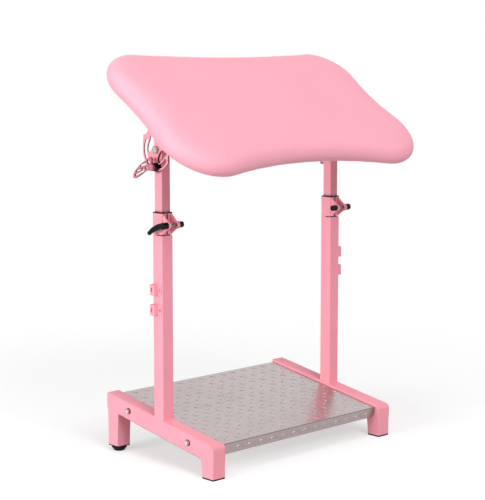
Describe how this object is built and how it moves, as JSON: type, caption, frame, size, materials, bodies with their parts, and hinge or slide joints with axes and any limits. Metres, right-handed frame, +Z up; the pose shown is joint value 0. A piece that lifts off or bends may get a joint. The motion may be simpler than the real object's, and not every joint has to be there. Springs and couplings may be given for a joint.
{
  "type": "tattoo arm rest stand",
  "caption": "Free-standing arm rest: a padded, lobed board tilts on uprights that slide in clamped columns, on side frames with a sloping footplate.",
  "frame": {"origin": "on the floor, under the centre of the stand's bounding box", "axes": "+Z up, -Y to the front, where the pad slopes down, +X to the right as seen from the front"},
  "size_m": [0.849, 0.4561, 1.0133],
  "materials": {
    "pink_coat": "satin pink powder coat",
    "vinyl_cover": "smooth matt pink leatherette",
    "tread_sheet": "brushed tread plate",
    "black_plastic": "moulded black plastic",
    "zinc_steel": "bright zinc plating",
    "plywood": "plain plywood"
  },
  "bodies": {
    "base": {"rail_left": "pink_coat", "rail_right": "pink_coat", "front_leg_left": "pink_coat", "front_leg_right": "pink_coat", "rear_leg_left": "pink_coat", "rear_leg_right": "pink_coat", "front_cap_left": "black_plastic", "front_cap_right": "black_plastic", "rear_insert_left": "black_plastic", "rear_insert_right": "black_plastic", "rail_plugs": "pink_coat", "footplate": "tread_sheet", "plate_bolts": "zinc_steel", "plate_washers": "zinc_steel", "plate_nuts": "zinc_steel", "column_left": "pink_coat", "column_right": "pink_coat", "clamp_ears_left": "pink_coat", "clamp_ears_right": "pink_coat", "slide_bush_left": "black_plastic", "slide_bush_right": "black_plastic", "clamp_nut_left": "black_plastic", "clamp_nut_right": "black_plastic", "strap_clips_left": "pink_coat", "strap_clips_right": "pink_coat", "clip_screws": "zinc_steel"},
    "foot_left": {"levelling_foot_left": "black_plastic", "foot_stem_left": "zinc_steel"},
    "foot_right": {"levelling_foot_right": "black_plastic", "foot_stem_right": "zinc_steel"},
    "lever_left": {"clamp_lever_left": "black_plastic", "clamp_stud_left": "zinc_steel"},
    "lever_right": {"clamp_lever_right": "black_plastic", "clamp_stud_right": "zinc_steel"},
    "uprights": {"slide_tube_left": "pink_coat", "slide_tube_right": "pink_coat", "slide_shoes": "black_plastic", "tube_plugs": "black_plastic", "pivot_bolt_left": "zinc_steel", "pivot_bolt_right": "zinc_steel", "pivot_nuts": "zinc_steel", "pivot_washers": "zinc_steel", "tilt_bolt_left": "pink_coat", "tilt_bolt_right": "pink_coat", "tilt_washers": "black_plastic"},
    "handle_left": {"handle_hub_left": "black_plastic", "wing_handle_left": "pink_coat"},
    "handle_right": {"handle_hub_right": "black_plastic", "wing_handle_right": "pink_coat"},
    "pad": {"tilt_bracket_left": "pink_coat", "tilt_bracket_right": "pink_coat", "bracket_screws": "zinc_steel", "pad_board": "plywood", "pad_cushion": "vinyl_cover"}
  },
  "joints": [
    {"name": "height", "type": "slide", "parent": "base", "child": "uprights", "axis": [0, 0, 1], "range_m": [-0.08, 0.15]},
    {"name": "tilt", "type": "hinge", "parent": "uprights", "child": "pad", "pos_m": [0, 0.02558, 0.7855], "axis": [1, 0, 0], "range_deg": [-110, 40]},
    {"name": "lever_left_turn", "type": "hinge", "parent": "base", "child": "lever_left", "pos_m": [-0.3353, -0.01142, 0.60325], "axis": [1, 0, 0], "range_deg": [-60, 90]},
    {"name": "lever_right_turn", "type": "hinge", "parent": "base", "child": "lever_right", "pos_m": [0.3353, -0.01142, 0.60325], "axis": [1, 0, 0], "range_deg": [-60, 90]},
    {"name": "handle_left_turn", "type": "hinge", "parent": "uprights", "child": "handle_left", "pos_m": [-0.32, 0.02558, 0.7438], "axis": [1, 0, 0], "range_deg": [-35, 60]},
    {"name": "handle_right_turn", "type": "hinge", "parent": "uprights", "child": "handle_right", "pos_m": [0.32, 0.02558, 0.7438], "axis": [1, 0, 0], "range_deg": [-35, 60]},
    {"name": "foot_left_turn", "type": "hinge", "parent": "base", "child": "foot_left", "pos_m": [-0.2995, 0.20458, 0.006], "axis": [0, 0, 1], "continuous": true},
    {"name": "foot_right_turn", "type": "hinge", "parent": "base", "child": "foot_right", "pos_m": [0.2995, 0.20458, 0.006], "axis": [0, 0, 1], "continuous": true}
  ]
}
